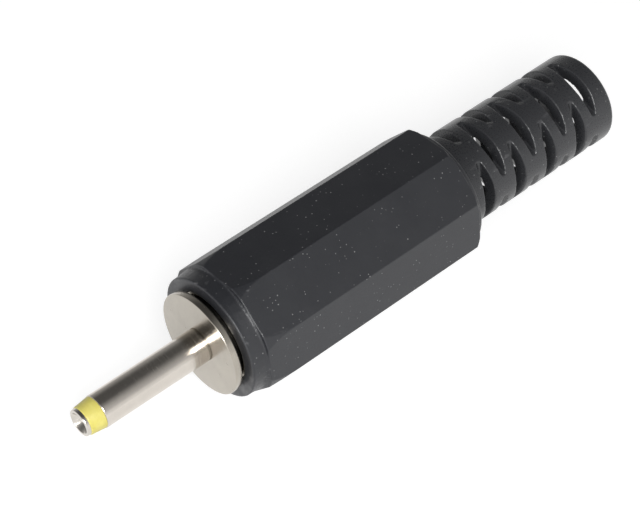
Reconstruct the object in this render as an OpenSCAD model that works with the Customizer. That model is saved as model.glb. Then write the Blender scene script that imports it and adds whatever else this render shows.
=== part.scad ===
// In-line dc barrel plug for soldering: a small two-contact plug, 2.35 mm outside and 0.7 mm inside,
// with an octagonal screw-on hood that ends in a slotted strain-relief boot.
//
// Millimetres. +X runs along the plug from the contact nose to the cable end, +Z is up.
// The origin is the centre of the flange's front face, where the plug stops against its socket.
// The hood lies on one of its eight flats, which faces -Z.

/* [Outer contact] */
// Outside diameter of the barrel
barrel_d = 2.35; // [2.2:0.05:2.6]
// Wall of the barrel
barrel_wall = 0.25; // [0.15:0.01:0.28]
// Length from the flange's face to the tip of the nose
plug_len = 9.5; // [7:0.1:14]
// Diameter of the flange
flange_d = 7.36; // [7:0.02:8]
// Thickness of the flange
flange_t = 0.5; // [0.3:0.05:0.8]
// Outside diameter of the screw thread behind the flange
thread_d = 6.6; // [6.2:0.05:6.8]
// Length of the threaded boss behind the flange
boss_len = 5.8; // [4:0.1:7]
// Width of the plain relief between the flange and the thread
relief_w = 0.6; // [0.4:0.05:1]
// Depth of the thread relief
relief_h = 0.25; // [0.1:0.05:0.4]
// Wall left around the recess in the back of the boss
lip_wall = 0.6; // [0.4:0.05:0.8]

/* [Centre contact] */
// Diameter of the bore that takes the socket's pin
pin_bore_d = 0.7; // [0.6:0.02:0.8]
// Wall of the contact tube
tube_wall = 0.22; // [0.18:0.01:0.26]
// Length of the rounded nose in front of the yellow head
nose_len = 0.35; // [0.3:0.05:0.6]
// Diameter of the nose
nose_d = 1.84; // [1.7:0.02:1.9]
// Diameter of the countersunk mouth
mouth_d = 1.36; // [1.2:0.02:1.42]
// Depth of the countersunk mouth
mouth_depth = 0.7; // [0.4:0.05:1]
// Height of the rolled rim that rivets the stack together
rivet_h = 0.3; // [0.2:0.02:0.4]

/* [Tip insulator] */
// Length of the tapered head, from the barrel to the nose
head_len = 1.0; // [0.6:0.05:1.4]
// Step from the barrel down to the head
head_step = 0.04; // [0:0.01:0.1]
// Step from the head down to the nose
nose_step = 0.03; // [0:0.01:0.06]

/* [Tags] */
// Thickness of the stamped ground clamp
clamp_t = 0.4; // [0.3:0.05:0.5]
// Width of the curved tail
tail_w = 2.7; // [2.2:0.1:3.2]
// Step from the edge of the clamp's disc in to its tail
tail_step = 0.1; // [0.05:0.05:0.3]
// Length of the tail from the boss to the cable wings
tail_len = 9.4; // [8.6:0.1:10.4]
// Diameter of the solder hole in the tail
solder_hole_d = 1.2; // [0.8:0.1:1.5]
// Length of the cable wings along the cable
wing_len = 2.3; // [1.6:0.1:2.6]
// Height of the wing tips above the axis
wing_rise = 1.2; // [0.6:0.1:1.4]
// Thickness of the insulating washer
washer_t = 0.5; // [0.4:0.05:0.8]
// Diameter of the insulating washer
washer_d = 3.6; // [3.4:0.05:3.8]
// Thickness of the centre tag
tag_t = 0.3; // [0.2:0.05:0.4]
// Diameter of the centre tag's ring
tag_ring_d = 2.9; // [2.7:0.05:3]
// Width of the centre tag's solder tail
tag_w = 1.5; // [1.2:0.05:1.7]
// Length of the centre tag's solder tail
tag_len = 3.8; // [3:0.1:4]

/* [Hood] */
// Distance across the flats of the octagon
hood_af = 9.12; // [8.9:0.02:10]
// Diameter of the round collars at both ends of the flats
collar_d = 8.74; // [8.6:0.02:8.8]
// Gap between the flange and the hood
hood_gap = 0.35; // [0.2:0.05:0.6]
// Length of the hood without its boot
hood_len = 19.95; // [18:0.05:24]
// Length of the straight part of the front collar
collar_len = 0.3; // [0.2:0.05:0.5]
// Distance from the hood's front face to the flats
flat_start = 1.15; // [0.8:0.05:1.4]
// Distance over which the corners of the octagon rise from the front collar
corner_run = 2.4; // [1.5:0.1:3.5]
// Length of the round shoulder behind the flats
shoulder_len = 0.45; // [0.3:0.05:0.6]
// Diameter of the cavity round the tags
cavity_d = 6.4; // [6.2:0.05:6.5]
// Radial clearance between the thread and the hood
thread_gap = 0.05; // [0.02:0.01:0.1]

/* [Boot] */
// Outside diameter of the boot
boot_d = 6.74; // [6.4:0.02:7.2]
// Length of the boot behind the hood
boot_len = 13.7; // [13.4:0.1:16]
// Fillet where the boot grows out of the hood
root_fillet = 0.35; // [0.2:0.05:0.5]
// Diameter of the cable bore
cable_d = 5.1; // [4.8:0.05:5.2]
// Number of slots in each of the six rows
slot_count = 4; // [2:1:4]
// Distance between the slots of a row
slot_pitch = 2.92; // [2.6:0.02:2.94]
// Distance from the hood to the middle of the first slot
slot_first = 1.7; // [1.4:0.05:1.8]
// Width of a slot at the outside of the boot
slot_w = 1.0; // [0.7:0.05:1.1]
// Width of a slot at its flat floor
slot_floor_w = 0.35; // [0.2:0.05:0.7]
// Distance from the axis to the flat floor of a slot
slot_floor = 2.35; // [2.15:0.05:2.4]
// Turn of the slot rows about the axis, from upright
slot_roll = 24; // [0:1:60]

/* [Hidden] */

// Small overlap of cutting tools past a face
eps = 0.05;
// Radial clearance between turned parts that slide together
fit_gap = 0.02;
// Bevel on turned metal edges
metal_edge = 0.06;
// Land of the washer's hub round the barrel's bore
hub_land = 0.08;
// Rounding of moulded edges
soft_edge = 0.25;
// Segments of a full turn
turn_fn = 96;
// Steps of a rounded edge in a profile
arc_steps = 6;

barrel_r = barrel_d / 2;
shell_front = -plug_len + nose_len + head_len;
head_front = -plug_len + nose_len;
barrel_bore_r = barrel_r - barrel_wall;
tube_r = pin_bore_d / 2 + tube_wall;

// Stack behind the boss, from front to back
boss_back = flange_t + boss_len;
recess_depth = clamp_t + washer_t;
recess_floor = boss_back - recess_depth;
recess_r = thread_d / 2 - lip_wall;
disc_back = recess_floor + clamp_t;
washer_back = disc_back + washer_t;
tag_back = washer_back + tag_t;
rivet_back = tag_back + rivet_h;
hub_r = barrel_bore_r + hub_land;

// Ground clamp
disc_r = recess_r - fit_gap;
sheet_r = disc_r - tail_step;
sheet_in_r = sheet_r - clamp_t;
wing_front = boss_back + tail_len;
clamp_back = wing_front + wing_len;

// Hood stations along the axis
hood_front = flange_t + hood_gap;
hood_back = hood_front + hood_len;
flats_front = hood_front + flat_start;
flats_back = hood_back - shoulder_len;
boot_back = hood_back + boot_len;
flat_r = hood_af / 2;
corner_r = flat_r / cos(22.5);
collar_r = collar_d / 2;
boot_r = boot_d / 2;
cable_r = cable_d / 2;
cavity_r = cavity_d / 2;
mouth_r = thread_d / 2 + thread_gap;
mouth_back = boss_back + hood_gap;
cavity_back = clamp_back + 0.9;

// Turns a profile of [radius, x] points about the X axis.
module turned(profile) {
  rotate([0, 90, 0])
    rotate_extrude($fn = turn_fn)
      polygon(profile);
}

// A round hole or rod along X.
module rod(r, x0, x1) {
  translate([x0, 0, 0])
    rotate([0, 90, 0])
      cylinder(r = r, h = x1 - x0, $fn = turn_fn);
}

// Points of a rounded corner: centre, radius, first and last angle.
function corner(centre, r, a0, a1) =
  [for (i = [0 : arc_steps]) let (a = a0 + (a1 - a0) * i / arc_steps) centre + r * [cos(a), sin(a)]];

// Outer contact: barrel, flange and threaded boss, turned in one.
module barrel_shell() {
  color([0.78, 0.76, 0.72])
    difference() {
      turned([
        [0, shell_front],
        [barrel_r - metal_edge, shell_front],
        [barrel_r, shell_front + metal_edge],
        [barrel_r, 0],
        [flange_d / 2 - metal_edge, 0],
        [flange_d / 2, metal_edge],
        [flange_d / 2, flange_t - metal_edge],
        [flange_d / 2 - metal_edge, flange_t],
        [thread_d / 2 - relief_h, flange_t],
        [thread_d / 2 - relief_h, flange_t + relief_w],
        [thread_d / 2, flange_t + relief_w + relief_h],
        [thread_d / 2, boss_back - relief_h],
        [thread_d / 2 - relief_h, boss_back],
        [0, boss_back]
      ]);
      rod(barrel_bore_r, shell_front - eps, boss_back);
      rod(recess_r, recess_floor, boss_back + eps);
    }
}

// Yellow moulded sleeve: a tapered head in front of the barrel and a tube that lines it.
module tip_insulator() {
  head_r = barrel_r - head_step;
  tip_r = nose_d / 2 + nose_step;
  color([0.93, 0.86, 0.36])
    difference() {
      turned([
        [0, head_front],
        [tip_r - metal_edge, head_front],
        [tip_r, head_front + metal_edge],
        [head_r, shell_front],
        [barrel_bore_r - fit_gap, shell_front],
        [barrel_bore_r - fit_gap, recess_floor],
        [0, recess_floor]
      ]);
      rod(tube_r + fit_gap, head_front - eps, recess_floor + eps);
    }
}

// Inner contact: a tube with a rounded nose, and a rolled rim at its back that rivets the stack.
module centre_contact() {
  nose_r = nose_d / 2;
  round_r = (nose_d - mouth_d) / 2;
  rim_r = tube_r + rivet_h;
  color([0.80, 0.78, 0.74])
    difference() {
      turned(concat(
        [[0, -plug_len]],
        corner([nose_r - round_r, -plug_len + round_r], round_r, -90, 0),
        [[nose_r, head_front], [tube_r, head_front], [tube_r, tag_back]],
        corner([tube_r, tag_back], rim_r - tube_r, 0, 90),
        [[0, rivet_back]]
      ));
      turned([
        [0, -plug_len - eps],
        [mouth_d / 2, -plug_len - eps],
        [mouth_d / 2, -plug_len],
        [pin_bore_d / 2, -plug_len + mouth_depth],
        [0, -plug_len + mouth_depth]
      ]);
      rod(pin_bore_d / 2, -plug_len, rivet_back + eps);
    }
}

// Stamped ground tag: disc staked in the boss, curved tail with a solder hole, and two cable wings.
module ground_clamp() {
  color([0.74, 0.72, 0.68])
    difference() {
      union() {
        rod(disc_r, recess_floor, disc_back);
        half_pipe(disc_back - eps, clamp_back);
        for (side = [-1, 1])
          translate([wing_front, side > 0 ? sheet_in_r : -sheet_r, 0])
            cube([wing_len, clamp_t, wing_rise]);
      }
      rod(hub_r + fit_gap, recess_floor - eps, disc_back + eps);
      translate([boss_back + tail_len * 0.45, 0, -sheet_r - eps])
        cylinder(d = solder_hole_d, h = clamp_t * 3, $fn = 48);
      for (side = [-1, 1])
        translate([disc_back, side > 0 ? tail_w / 2 : -tail_w / 2 - disc_r, -disc_r])
          cube([wing_front - disc_back, disc_r, 2 * disc_r]);
    }
}

// Sheet curved round the lower half of the axis, from x0 to x1.
module half_pipe(x0, x1) {
  translate([x0, 0, 0])
    rotate([0, 90, 0])
      rotate([0, 0, -90])
        rotate_extrude(angle = 180, $fn = turn_fn)
          translate([sheet_in_r, 0])
            square([clamp_t, x1 - x0]);
}

// Shouldered washer between the ground disc and the centre tag.
module insulating_washer() {
  color([0.86, 0.84, 0.78])
    difference() {
      union() {
        rod(hub_r, recess_floor, disc_back + eps);
        rod(washer_d / 2, disc_back, washer_back);
      }
      rod(tube_r + fit_gap, recess_floor - eps, washer_back + eps);
    }
}

// Stamped solder tag on the centre contact, bent back above the axis.
module centre_tag() {
  tail_top = tag_ring_d / 2;
  color([0.74, 0.72, 0.68])
    difference() {
      union() {
        rod(tag_ring_d / 2, washer_back, tag_back);
        translate([washer_back, -tag_w / 2, tail_top - tag_t - 0.1])
          cube([tag_len, tag_w, tag_t]);
      }
      rod(tube_r + fit_gap, washer_back - eps, tag_back + eps);
      translate([washer_back + tag_len * 0.68, 0, 0])
        cylinder(d = solder_hole_d * 0.75, h = tag_ring_d, $fn = 48);
    }
}

// Flat-floored slot across the boot, drafted so that it is wider outside. It opens towards +Z.
module slot(x) {
  reach = boot_r + eps;
  rotate([90, 0, 0])
    linear_extrude(height = 2 * boot_d, center = true)
      polygon([
        [x - slot_floor_w / 2, slot_floor],
        [x + slot_floor_w / 2, slot_floor],
        [x + slot_w / 2, reach],
        [x - slot_w / 2, reach]
      ]);
}

// Six rows of slots round the boot. Every second row lies half a pitch further along.
module slot_rows() {
  for (row = [0 : 5])
    rotate([slot_roll + 60 * row, 0, 0])
      for (i = [0 : slot_count - 1])
        slot(hood_back + slot_first + slot_pitch * (i + ((row + 1) % 2) / 2));
}

// Octagonal part of the hood, its corners rising from the front collar and rounded at the back.
module flats() {
  start_r = flat_r + 0.2;
  intersection() {
    translate([flats_front, 0, 0])
      rotate([0, 90, 0])
        rotate([0, 0, 22.5])
          cylinder(r = corner_r, h = flats_back - flats_front, $fn = 8);
    turned(concat(
      [[0, flats_front], [start_r, flats_front]],
      [for (i = [1 : arc_steps])
        let (t = i / arc_steps)
        [start_r + (corner_r - start_r) * (1 - pow(1 - t, 2)), flats_front + corner_run * t]],
      [
        [corner_r, flats_back - soft_edge],
        [corner_r - soft_edge, flats_back],
        [0, flats_back]
      ]
    ));
  }
}

// Screw-on cover: collar, octagon, shoulder and slotted boot in one moulding.
module hood() {
  color([0.16, 0.16, 0.17])
    difference() {
      union() {
        turned(concat(
          [
            [0, hood_front],
            [collar_r - metal_edge, hood_front],
            [collar_r, hood_front + metal_edge],
            [collar_r, hood_front + collar_len],
            [collar_r + 0.08, flats_front],
            [collar_r, flats_front + corner_run]
          ],
          corner([collar_r - soft_edge, hood_back - soft_edge], soft_edge, 0, 90),
          corner([boot_r + root_fillet, hood_back + root_fillet], root_fillet, 270, 180),
          corner([boot_r - soft_edge, boot_back - soft_edge], soft_edge, 0, 90),
          [[0, boot_back]]
        ));
        flats();
      }
      slot_rows();
      rod(cable_r, hood_front, boot_back + eps);
      rod(mouth_r, hood_front - eps, mouth_back);
      turned([
        [0, mouth_back - eps],
        [cavity_r, mouth_back - eps],
        [cavity_r, cavity_back],
        [cable_r, cavity_back + cavity_r - cable_r],
        [0, cavity_back + cavity_r - cable_r]
      ]);
    }
}

barrel_shell();
tip_insulator();
centre_contact();
ground_clamp();
insulating_washer();
centre_tag();
hood();
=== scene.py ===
"""Looks of the dc barrel plug: metal, yellow tip, hood and studio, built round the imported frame."""
import math

import bmesh
import bpy
from mathutils import Matrix, Vector


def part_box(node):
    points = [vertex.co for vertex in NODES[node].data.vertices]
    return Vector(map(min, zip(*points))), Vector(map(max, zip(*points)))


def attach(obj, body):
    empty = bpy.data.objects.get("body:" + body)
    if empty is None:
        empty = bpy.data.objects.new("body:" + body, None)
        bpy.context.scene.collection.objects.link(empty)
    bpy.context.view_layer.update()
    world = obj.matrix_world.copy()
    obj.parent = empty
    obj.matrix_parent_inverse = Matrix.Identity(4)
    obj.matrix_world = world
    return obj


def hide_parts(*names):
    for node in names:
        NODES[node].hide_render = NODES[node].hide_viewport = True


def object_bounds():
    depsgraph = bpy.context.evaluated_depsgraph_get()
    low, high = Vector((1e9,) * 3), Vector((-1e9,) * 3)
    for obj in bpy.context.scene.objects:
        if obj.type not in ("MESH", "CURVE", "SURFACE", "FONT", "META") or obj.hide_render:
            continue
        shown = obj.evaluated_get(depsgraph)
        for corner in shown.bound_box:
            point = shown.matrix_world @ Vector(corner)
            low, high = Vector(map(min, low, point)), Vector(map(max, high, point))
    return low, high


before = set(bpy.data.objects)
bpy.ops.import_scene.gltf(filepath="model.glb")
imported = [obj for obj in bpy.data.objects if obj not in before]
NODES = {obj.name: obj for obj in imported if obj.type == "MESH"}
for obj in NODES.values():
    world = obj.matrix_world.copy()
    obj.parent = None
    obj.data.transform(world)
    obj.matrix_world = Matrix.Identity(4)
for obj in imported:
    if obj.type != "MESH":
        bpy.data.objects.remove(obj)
MM = 0.001


def corners():
    """The whole model's lowest and highest corners, as plain lists of metres."""
    return [list(corner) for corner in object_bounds()]


def shade(colour, share):
    """A colour made darker."""
    return [channel * share for channel in colour]


# The CAD's boxes, in metres
CAD_CORNERS = corners()
SHELL_LOW, SHELL_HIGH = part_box("barrel_shell")
TIP_LOW, TIP_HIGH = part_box("tip_insulator")
CONTACT_LOW, CONTACT_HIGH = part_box("centre_contact")

# Camera: where it stands and its lens, in millimetres, and how it is turned, in degrees
CAMERA_AT = (-50.519, -77.792, 94.491)
CAMERA_DOWN = 43.641
CAMERA_HEADING = 37.973
CAMERA_ROLL = -4.829
CAMERA_LENS = 117.57

# Every turned piece: its segments, and the angle in degrees from which an edge stays sharp
TURN_SEGMENTS = 160
SHARP_ANGLE = 40
# Largest part of a side that the rounding of a corner takes up
ROUNDING_REACH = 0.45

# Barrel, flange and boss, in millimetres
BARREL_R = 1.175
BARREL_BORE_R = 0.925
GROOVE_DEPTH = 0.06
GROOVE_W = 0.08
GROOVE_SLOPE = 0.02
FLANGE_R = SHELL_HIGH.y / MM
FLANGE_T = 0.5
RELIEF_R = 3.05
RELIEF_END = 1.1
RECESS_R = 2.7
RECESS_FLOOR = 5.4
BACK_BEVEL = 0.25
EDGE_R = 0.08

# Thread, in millimetres, with the steps of one turn and the shape of its flanks
THREAD_R = 3.3
THREAD_PITCH = 0.75
THREAD_DEPTH = 0.24
THREAD_STEPS = 8
THREAD_FRONT_GAP = 0.1
THREAD_BACK_GAP = 0.3
THREAD_FADE = 0.3
THREAD_FLANK = 1.25
THREAD_CREST = 0.1
# How near to the thread's radius a point of the profile lies to take the thread
THREAD_NEAR = 0.02

# Yellow tip, in millimetres. Its lip reaches forward round the nose.
HEAD_R = 1.135
TIP_R = 1.0
LIP_R = 0.8
LIP_REACH = 0.11
SLEEVE_R = 0.905
TUBE_HOLE_R = 0.59

# Contact tube, in millimetres
NOSE_R = 0.96
MOUTH_R = 0.76
MOUTH_DEPTH = 0.7
PIN_BORE_R = 0.35
TUBE_R = 0.57
TAG_BACK = 6.6
RIM_R = 0.87

# Moulded hood, in millimetres
HOOD_VOXEL = 0.07
HOOD_TRIANGLES = 150000
HOOD_SMOOTHING = 0.5
HOOD_BACK = 20.8
WELD = 0.002

# Plate: bright on the barrel; from the groove back, on the flange and the boss, a darker copy of it is
# painted shade for their dimmer reflection
BARREL_PLATE = (0.65, 0.605, 0.55)
BARREL_CLOUDS = shade(BARREL_PLATE, 0.94)
# Darker copy of the plate, painted shade on the flange and the boss
BOSS_SHADED_PLATE = (0.445, 0.412, 0.36)
BOSS_SHADED_CLOUDS = shade(BOSS_SHADED_PLATE, 0.93)
BOSS_SHADE_FROM = -0.09
PLATE_ROUGHNESS = 0.2

# Contact tube's plate, and tin on the two stamped tags
CONTACT_PLATE = (0.66, 0.62, 0.57)
CONTACT_CLOUDS = (0.56, 0.53, 0.48)
TINNED = (0.66, 0.64, 0.60)
TINNED_CLOUDS = (0.56, 0.54, 0.50)
TINNED_ROUGHNESS = 0.32

# Yellow plastic and the washer's pale plastic
YELLOW_DARK = (0.73, 0.64, 0.14)
YELLOW_LIGHT = (0.81, 0.73, 0.21)
WASHER_LIGHT = (0.80, 0.78, 0.70)
WASHER_DARK = (0.72, 0.69, 0.60)

# Black plastic, and how far before and behind the hood's back it turns into the boot's, in millimetres
BOOT_BEFORE = 0.6
BOOT_BEHIND = 0.4
BLACK_DARK = (0.017, 0.018, 0.022)
BLACK_LIGHT = (0.024, 0.025, 0.029)
BLACK_BOOT = (0.030, 0.031, 0.034)
# Pale colour painted on the sharp edges as a highlight
BLACK_EDGE_HIGHLIGHT = (0.13, 0.13, 0.135)
DUST = (0.30, 0.30, 0.30)

# Floor: half its width and the distances between which it turns white, in metres, its grey and its glow
FLOOR_HALF = 3.0
FLOOR_NEAR = 0.06
FLOOR_FAR = 0.4
FLOOR_LIT = 0.5
FLOOR_GLOW = 0.74

# Room: the direction of its dark ceiling, which leans to the far side, and (height along it, brightness)
ROOM_UP = (0, 0.25, 1)
ROOM_LEVELS = ((0.0, 0.95), (0.14, 0.62), (0.65, 0.30), (0.9, 0.09))

# Square area lamps: name, place and size in millimetres, power in watts, whether only gloss shows them
LAMP_TARGET = (10, 0, 0)
LAMPS = (
    ("key", (-75, -160, 150), 90, 0.3, False),
    ("side", (-150, -66, 48), 60, 0.10, False),
    ("glint", (-96, -175, 132), 50, 0.18, True),
)


# ---------------------------------------------------------------- shapes
def new_object(name, data):
    obj = bpy.data.objects.new(name, data)
    bpy.context.scene.collection.objects.link(obj)
    return obj


def rounded(points, steps=5):
    """Profile with its corners rounded. A point is (x, r) or (x, r, radius of its rounding)."""
    out = []
    count = len(points)
    for i, point in enumerate(points):
        here = Vector(point[:2])
        radius = point[2] if len(point) > 2 else 0
        if not radius:
            out.append(here)
            continue
        before = Vector(points[i - 1][:2]) - here
        after = Vector(points[(i + 1) % count][:2]) - here
        half = before.angle(after) / 2
        reach = min(radius / math.tan(half), before.length * ROUNDING_REACH, after.length * ROUNDING_REACH)
        start = here + before.normalized() * reach
        end = here + after.normalized() * reach
        for k in range(steps + 1):
            t = k / steps
            out.append(start.lerp(here, t).lerp(here.lerp(end, t), t))
    return out


def lathe(name, profile, radius_at=None):
    """Closed profile of (x, r) points in millimetres, turned about the X axis."""
    mesh = bpy.data.meshes.new(name)
    bm = bmesh.new()
    rings = []
    for s in range(TURN_SEGMENTS):
        angle = 2 * math.pi * s / TURN_SEGMENTS
        ring = []
        for x, r in profile:
            radius = radius_at(x, r, angle) if radius_at else r
            ring.append(bm.verts.new((x * MM, radius * math.cos(angle) * MM, radius * math.sin(angle) * MM)))
        rings.append(ring)
    count = len(profile)
    for s in range(TURN_SEGMENTS):
        ring, after = rings[s], rings[(s + 1) % TURN_SEGMENTS]
        for i in range(count):
            j = (i + 1) % count
            bm.faces.new((ring[i], ring[j], after[j], after[i]))
    bmesh.ops.recalc_face_normals(bm, faces=bm.faces)
    bm.to_mesh(mesh)
    bm.free()
    obj = new_object(name, mesh)
    smooth_by_angle(obj)
    return obj


def smooth_by_angle(obj):
    """Smooth shading, with edges sharper than SHARP_ANGLE kept sharp."""
    mesh = obj.data
    smooth_all(mesh)
    bm = bmesh.new()
    bm.from_mesh(mesh)
    limit = math.radians(SHARP_ANGLE)
    for edge in bm.edges:
        edge.smooth = len(edge.link_faces) != 2 or edge.calc_face_angle() < limit
    bm.to_mesh(mesh)
    bm.free()


def smooth_all(mesh):
    mesh.polygons.foreach_set("use_smooth", [True] * len(mesh.polygons))


def applied(obj):
    """Bakes the object's modifiers into its mesh."""
    shown = obj.evaluated_get(bpy.context.evaluated_depsgraph_get())
    mesh = bpy.data.meshes.new_from_object(shown)
    obj.modifiers.clear()
    obj.data = mesh


def thread_radius(x, r, angle):
    """Outside radius of the boss with a helical thread that fades out at both ends."""
    first = RELIEF_END + THREAD_FRONT_GAP
    last = SHELL_HIGH.x / MM - THREAD_BACK_GAP
    if r < THREAD_R - THREAD_NEAR or not first < x < last:
        return r
    fade = min(1, (x - first) / THREAD_FADE, (last - x) / THREAD_FADE)
    wave = abs(2 * ((x / THREAD_PITCH - angle / (2 * math.pi)) % 1) - 1)
    return r - THREAD_DEPTH * fade * min(1, max(0, THREAD_FLANK * wave - THREAD_CREST))


def barrel_shell():
    """Barrel, flange and threaded boss, turned in one."""
    front, back = SHELL_LOW.x / MM, SHELL_HIGH.x / MM
    thread_end = back - BACK_BEVEL
    count = int((back - RELIEF_END) / THREAD_PITCH * THREAD_STEPS)
    thread = [(RELIEF_END + (thread_end - RELIEF_END) * k / count, THREAD_R) for k in range(1, count)]
    profile = rounded([
        (front, BARREL_BORE_R, 0.03),
        (front, BARREL_R, EDGE_R),
        (-GROOVE_W - GROOVE_SLOPE, BARREL_R, 0.02),
        (-GROOVE_W, BARREL_R - GROOVE_DEPTH),
        (0, BARREL_R - GROOVE_DEPTH),
        (0, FLANGE_R, EDGE_R),
        (FLANGE_T, FLANGE_R, EDGE_R),
        (FLANGE_T, RELIEF_R),
        (RELIEF_END, RELIEF_R),
        *thread,
        (thread_end, THREAD_R),
        (back, RELIEF_R, 0.03),
        (back, RECESS_R, 0.05),
        (RECESS_FLOOR, RECESS_R),
        (RECESS_FLOOR, BARREL_BORE_R),
    ])
    return lathe("turned_shell", profile, radius_at=thread_radius)


def tip_insulator():
    """Yellow sleeve with a tapered head."""
    seat, head_back, back = TIP_LOW.x / MM, SHELL_LOW.x / MM, TIP_HIGH.x / MM
    profile = rounded([
        (seat, TUBE_HOLE_R),
        (seat, LIP_R),
        (seat - LIP_REACH, LIP_R),
        (seat - LIP_REACH, TIP_R, 0.12),
        (head_back, HEAD_R, 0.03),
        (head_back, SLEEVE_R),
        (back, SLEEVE_R),
        (back, TUBE_HOLE_R),
    ])
    return lathe("yellow_tip", profile)


def centre_contact():
    """Contact tube with a rounded nose, a countersunk mouth and a rolled rim at its back."""
    front, back, seat = CONTACT_LOW.x / MM, CONTACT_HIGH.x / MM, TIP_LOW.x / MM
    profile = rounded([
        (front + MOUTH_DEPTH, PIN_BORE_R, 0.05),
        (front, MOUTH_R, 0.06),
        (front, NOSE_R, 0.3),
        (seat - LIP_REACH, NOSE_R),
        (seat - LIP_REACH, LIP_R),
        (seat, LIP_R),
        (seat, TUBE_R),
        (TAG_BACK, TUBE_R),
        (TAG_BACK, RIM_R),
        (back, RIM_R, 0.25),
        (back, PIN_BORE_R, 0.1),
    ])
    return lathe("contact_tube", profile)


def hood():
    """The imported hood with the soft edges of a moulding."""
    obj = new_object("moulded_hood", NODES["hood"].data.copy())
    bm = bmesh.new()
    bm.from_mesh(obj.data)
    bmesh.ops.remove_doubles(bm, verts=bm.verts, dist=WELD * MM)
    bm.to_mesh(obj.data)
    bm.free()
    remesh = obj.modifiers.new("moulding", "REMESH")
    remesh.mode = "VOXEL"
    remesh.voxel_size = HOOD_VOXEL * MM
    soften = obj.modifiers.new("soft_edges", "SMOOTH")
    soften.factor = HOOD_SMOOTHING
    soften.iterations = 1
    applied(obj)
    triangles = sum(len(p.vertices) - 2 for p in obj.data.polygons)
    thin = obj.modifiers.new("thin_out", "DECIMATE")
    thin.ratio = min(1, HOOD_TRIANGLES / triangles)
    applied(obj)
    smooth_all(obj.data)
    even = obj.modifiers.new("even_normals", "WEIGHTED_NORMAL")
    even.mode = "FACE_AREA"
    return obj


# ---------------------------------------------------------------- materials
class Nodes:
    """Short calls for the nodes of one tree."""

    def __init__(self, tree):
        self.tree = tree

    def node(self, kind, **settings):
        node = self.tree.nodes.new(kind)
        for name, value in settings.items():
            setattr(node, name, value)
        return node

    def link(self, a, b):
        self.tree.links.new(a, b)

    def feed(self, value, socket):
        """Links a socket's value in, or writes a plain one."""
        if isinstance(value, bpy.types.NodeSocket):
            self.link(value, socket)
        else:
            socket.default_value = value

    def math(self, operation, a, b):
        node = self.node("ShaderNodeMath", operation=operation)
        self.feed(a, node.inputs[0])
        self.feed(b, node.inputs[1])
        return node.outputs[0]

    def ramp(self, value, *stops):
        """Ramp of greys through (position, grey) stops."""
        ramp = self.node("ShaderNodeValToRGB")
        elements = ramp.color_ramp.elements
        while len(elements) < len(stops):
            elements.new(0.5)
        for element, (position, grey) in zip(elements, stops):
            element.position = position
            element.color = (grey, grey, grey, 1)
        self.link(value, ramp.inputs["Fac"])
        return ramp.outputs["Color"]

    def map_range(self, value, start, end, to_start=0.0, to_end=1.0):
        node = self.node("ShaderNodeMapRange")
        node.inputs["From Min"].default_value = start
        node.inputs["From Max"].default_value = end
        node.inputs["To Min"].default_value = to_start
        node.inputs["To Max"].default_value = to_end
        self.link(value, node.inputs["Value"])
        return node.outputs["Result"]


class Shader(Nodes):
    """A Principled material."""

    def __init__(self, name, **sockets):
        self.material = bpy.data.materials.new(name)
        self.material.use_nodes = True
        super().__init__(self.material.node_tree)
        self.bsdf = self.tree.nodes["Principled BSDF"]
        self.place = self.node("ShaderNodeTexCoord").outputs["Object"]
        for socket, value in sockets.items():
            self.bsdf.inputs[socket.replace("_", " ")].default_value = value

    def scaled(self, scales):
        """Place in the frame, with so many units to the millimetre along each axis."""
        mapping = self.node("ShaderNodeMapping")
        mapping.inputs["Scale"].default_value = [scale / MM for scale in scales]
        self.link(self.place, mapping.inputs["Vector"])
        return mapping.outputs["Vector"]

    def noise(self, scale, detail, roughness=0.6, stretch=(1, 1, 1)):
        """Noise whose scale is in lumps per millimetre."""
        noise = self.node("ShaderNodeTexNoise")
        noise.inputs["Scale"].default_value = 1
        noise.inputs["Detail"].default_value = detail
        noise.inputs["Roughness"].default_value = roughness
        self.link(self.scaled([scale * s for s in stretch]), noise.inputs["Vector"])
        return noise.outputs["Fac"]

    def specks(self, scale, size, share):
        """Small round specks: cells per millimetre, radius in cells, and the share of cells with one."""
        cells = self.node("ShaderNodeTexVoronoi")
        cells.inputs["Scale"].default_value = 1
        self.link(self.scaled([scale] * 3), cells.inputs["Vector"])
        near = self.math("LESS_THAN", cells.outputs["Distance"], size)
        split = self.node("ShaderNodeSeparateColor")
        self.link(cells.outputs["Color"], split.inputs[0])
        picked = self.math("LESS_THAN", split.outputs[0], share)
        return self.math("MULTIPLY", near, picked)

    def mix(self, factor, a, b):
        """Mixes two colours, each a plain one or a socket's."""
        mix = self.node("ShaderNodeMix", data_type="RGBA")
        self.link(factor, mix.inputs[0])
        for value, index in ((a, 6), (b, 7)):
            plain = not isinstance(value, bpy.types.NodeSocket)
            self.feed((*value, 1) if plain else value, mix.inputs[index])
        return mix.outputs[2]

    def along(self):
        """Place along the X axis, in metres."""
        split = self.node("ShaderNodeSeparateXYZ")
        self.link(self.place, split.inputs[0])
        return split.outputs["X"]

    def bump(self, height, strength, distance):
        bump = self.node("ShaderNodeBump")
        bump.inputs["Strength"].default_value = strength
        bump.inputs["Distance"].default_value = distance * MM
        self.link(height, bump.inputs["Height"])
        self.link(bump.outputs["Normal"], self.bsdf.inputs["Normal"])

    def set(self, socket, value):
        self.link(value, self.bsdf.inputs[socket])


def metal(name, roughness):
    """Metal with fine turning marks, and a mask of soft clouds for its colours."""
    m = Shader(name, Metallic=1.0)
    marks = m.noise(2.0, 4, 0.7, stretch=(14, 0.6, 0.6))
    m.set("Roughness", m.ramp(marks, (0.3, roughness - 0.05), (0.7, roughness + 0.08)))
    m.bump(marks, 0.05, 0.01)
    return m, m.ramp(m.noise(0.9, 3), (0.35, 0.0), (0.75, 1.0))


def plated_metal(name, light, dark, roughness):
    """Plate of one tone, over turned or stamped brass."""
    m, clouds = metal(name, roughness)
    m.set("Base Color", m.mix(clouds, light, dark))
    return m.material


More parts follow.
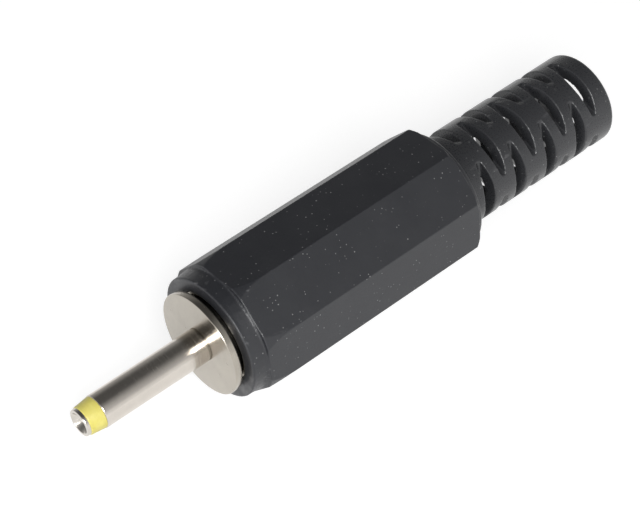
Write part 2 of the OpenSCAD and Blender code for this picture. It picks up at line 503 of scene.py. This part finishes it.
def nickel_plate():
    """Plate of the turned shell, with painted shade from the groove back: a darker copy of the plate on the
    flange and the boss.
    """
    m, clouds = metal("nickel_plate", PLATE_ROUGHNESS)
    barrel = m.mix(clouds, BARREL_PLATE, BARREL_CLOUDS)
    # Painted shade: the darker plate on the flange and boss stands in for their dimmer reflection
    boss = m.mix(clouds, BOSS_SHADED_PLATE, BOSS_SHADED_CLOUDS)
    behind = m.math("GREATER_THAN", m.along(), BOSS_SHADE_FROM * MM)
    m.set("Base Color", m.mix(behind, barrel, boss))
    return m.material


def yellow_plastic():
    """Smooth plastic that lets a little light in."""
    m = Shader("yellow_plastic", IOR=1.5, Subsurface_Weight=0.12, Subsurface_Scale=0.5 * MM)
    m.bsdf.inputs["Subsurface Radius"].default_value = (1.0, 0.8, 0.2)
    clouds = m.ramp(m.noise(1.6, 4), (0.35, 0.0), (0.7, 1.0))
    m.set("Base Color", m.mix(clouds, YELLOW_DARK, YELLOW_LIGHT))
    m.set("Roughness", m.ramp(m.noise(6, 3), (0.3, 0.28), (0.7, 0.4)))
    m.bump(m.noise(5, 4), 0.2, 0.01)
    return m.material


def black_plastic():
    """Satin black moulding with pale specks and a painted highlight on its sharp edges, lighter and glossier
    on the boot.
    """
    m = Shader("black_plastic", IOR=1.5)
    boot = m.map_range(m.along(), (HOOD_BACK - BOOT_BEFORE) * MM, (HOOD_BACK + BOOT_BEHIND) * MM)
    clouds = m.ramp(m.noise(0.35, 4), (0.3, 0.0), (0.75, 1.0))
    base = m.mix(boot, m.mix(clouds, BLACK_DARK, BLACK_LIGHT), BLACK_BOOT)
    # Painted highlight: a pale colour on the sharp edges, found by pointiness, stands in for light caught
    # there
    edges = m.ramp(m.node("ShaderNodeNewGeometry").outputs["Pointiness"], (0.54, 0.0), (0.62, 1.0))
    painted_edge_highlight = m.math("MULTIPLY", edges, m.ramp(m.noise(0.8, 4), (0.4, 0.0), (0.65, 0.7)))
    patches = m.ramp(m.noise(0.45, 2), (0.42, 0.05), (0.6, 0.75))
    dust = m.math("MULTIPLY", m.specks(4.0, 0.17, 0.3), patches)
    m.set("Base Color", m.mix(dust, m.mix(painted_edge_highlight, base, BLACK_EDGE_HIGHLIGHT), DUST))
    fine = m.noise(9, 4)
    satin = m.ramp(fine, (0.3, 0.36), (0.7, 0.48))
    gloss = m.ramp(fine, (0.3, 0.24), (0.7, 0.34))
    m.set("Roughness", m.mix(boot, satin, gloss))
    waves = m.math("MULTIPLY", m.noise(1.2, 3), 1.5)
    m.bump(m.math("ADD", fine, waves), 0.25, 0.02)
    return m.material


def washer_plastic():
    m = Shader("washer_plastic", IOR=1.5)
    m.set("Base Color", m.mix(m.noise(1.5, 4), WASHER_LIGHT, WASHER_DARK))
    m.set("Roughness", m.ramp(m.noise(6, 3), (0.3, 0.4), (0.7, 0.55)))
    m.bump(m.noise(8, 3), 0.2, 0.01)
    return m.material


def dress(obj, material):
    obj.data.materials.clear()
    obj.data.materials.append(material)


def carry(node, material):
    """Gives a CAD node's own object a finish."""
    for slot in NODES[node].material_slots:
        slot.material = material


# ---------------------------------------------------------------- studio
def camera():
    data = bpy.data.cameras.new("camera")
    data.lens = CAMERA_LENS
    data.clip_start = 0.01
    obj = new_object("camera", data)
    down, heading = math.radians(CAMERA_DOWN), math.radians(CAMERA_HEADING)
    level = math.cos(down)
    forward = Vector((level * math.sin(heading), level * math.cos(heading), -math.sin(down)))
    turn = forward.to_track_quat("-Z", "Y").to_matrix().to_4x4()
    roll = Matrix.Rotation(math.radians(CAMERA_ROLL), 4, "Z")
    obj.matrix_world = Matrix.Translation(Vector(CAMERA_AT) * MM) @ turn @ roll
    bpy.context.scene.camera = obj


def floor_material():
    """Grey that glows white for camera, glossy and transmission rays, and keeps the object's shadow."""
    m = Shader("floor", Roughness=0.9, Specular_IOR_Level=0)
    m.bsdf.inputs["Base Color"].default_value = (FLOOR_LIT, FLOOR_LIT, FLOOR_LIT, 1)
    m.bsdf.inputs["Emission Color"].default_value = (1, 1, 1, 1)
    distance = m.node("ShaderNodeVectorMath", operation="LENGTH")
    m.link(m.place, distance.inputs[0])
    level = m.map_range(distance.outputs["Value"], FLOOR_NEAR, FLOOR_FAR, FLOOR_GLOW, 1.0)
    rays = m.node("ShaderNodeLightPath").outputs
    mirrored = m.math("MAXIMUM", rays["Is Glossy Ray"], rays["Is Transmission Ray"])
    seen = m.math("MAXIMUM", rays["Is Camera Ray"], mirrored)
    m.set("Emission Strength", m.math("MULTIPLY", seen, level))
    return m.material


def floor():
    z = CAD_CORNERS[0][2]
    mesh = bpy.data.meshes.new("floor")
    square = [(x * FLOOR_HALF, y * FLOOR_HALF, z) for x, y in ((-1, -1), (1, -1), (1, 1), (-1, 1))]
    mesh.from_pydata(square, [], [(0, 1, 2, 3)])
    obj = new_object("floor", mesh)
    dress(obj, floor_material())


def room():
    """A room with a white horizon, pale walls and a dark ceiling."""
    world = bpy.data.worlds.new("room")
    bpy.context.scene.world = world
    world.use_nodes = True
    nodes = Nodes(world.node_tree)
    height = nodes.node("ShaderNodeVectorMath", operation="DOT_PRODUCT")
    height.inputs[1].default_value = ROOM_UP
    nodes.link(nodes.node("ShaderNodeTexCoord").outputs["Generated"], height.inputs[0])
    brightness = nodes.ramp(height.outputs["Value"], *ROOM_LEVELS)
    nodes.link(brightness, nodes.tree.nodes["Background"].inputs["Color"])


def softbox(name, place, size, power, only_gloss):
    data = bpy.data.lights.new(name, "AREA")
    data.size = size * MM
    data.energy = power
    obj = new_object(name, data)
    at, to = Vector(place) * MM, Vector(LAMP_TARGET) * MM
    obj.matrix_world = Matrix.Translation(at) @ (to - at).to_track_quat("-Z", "Y").to_matrix().to_4x4()
    obj.visible_diffuse = not only_gloss


# ---------------------------------------------------------------- the model
bpy.context.scene.view_settings.view_transform = "Standard"

contact_plate = plated_metal("contact_plate", CONTACT_PLATE, CONTACT_CLOUDS, PLATE_ROUGHNESS)

for build, node, body, material, slot in (
    (barrel_shell, "barrel_shell", "core", nickel_plate(), "nickel_plate"),
    (tip_insulator, "tip_insulator", "core", yellow_plastic(), "yellow_plastic"),
    (centre_contact, "centre_contact", "core", contact_plate, "contact_plate"),
    (hood, "hood", "hood", black_plastic(), "black_plastic"),
):
    piece = build()
    dress(piece, material)
    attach(piece, body)
    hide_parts(node)

tinned = plated_metal("tinned_brass", TINNED, TINNED_CLOUDS, TINNED_ROUGHNESS)
carry("ground_clamp", tinned)
carry("centre_tag", tinned)
carry("insulating_washer", washer_plastic())

camera()
floor()
room()
for name, place, size, power, only_gloss in LAMPS:
    softbox(name, place, size, power, only_gloss)
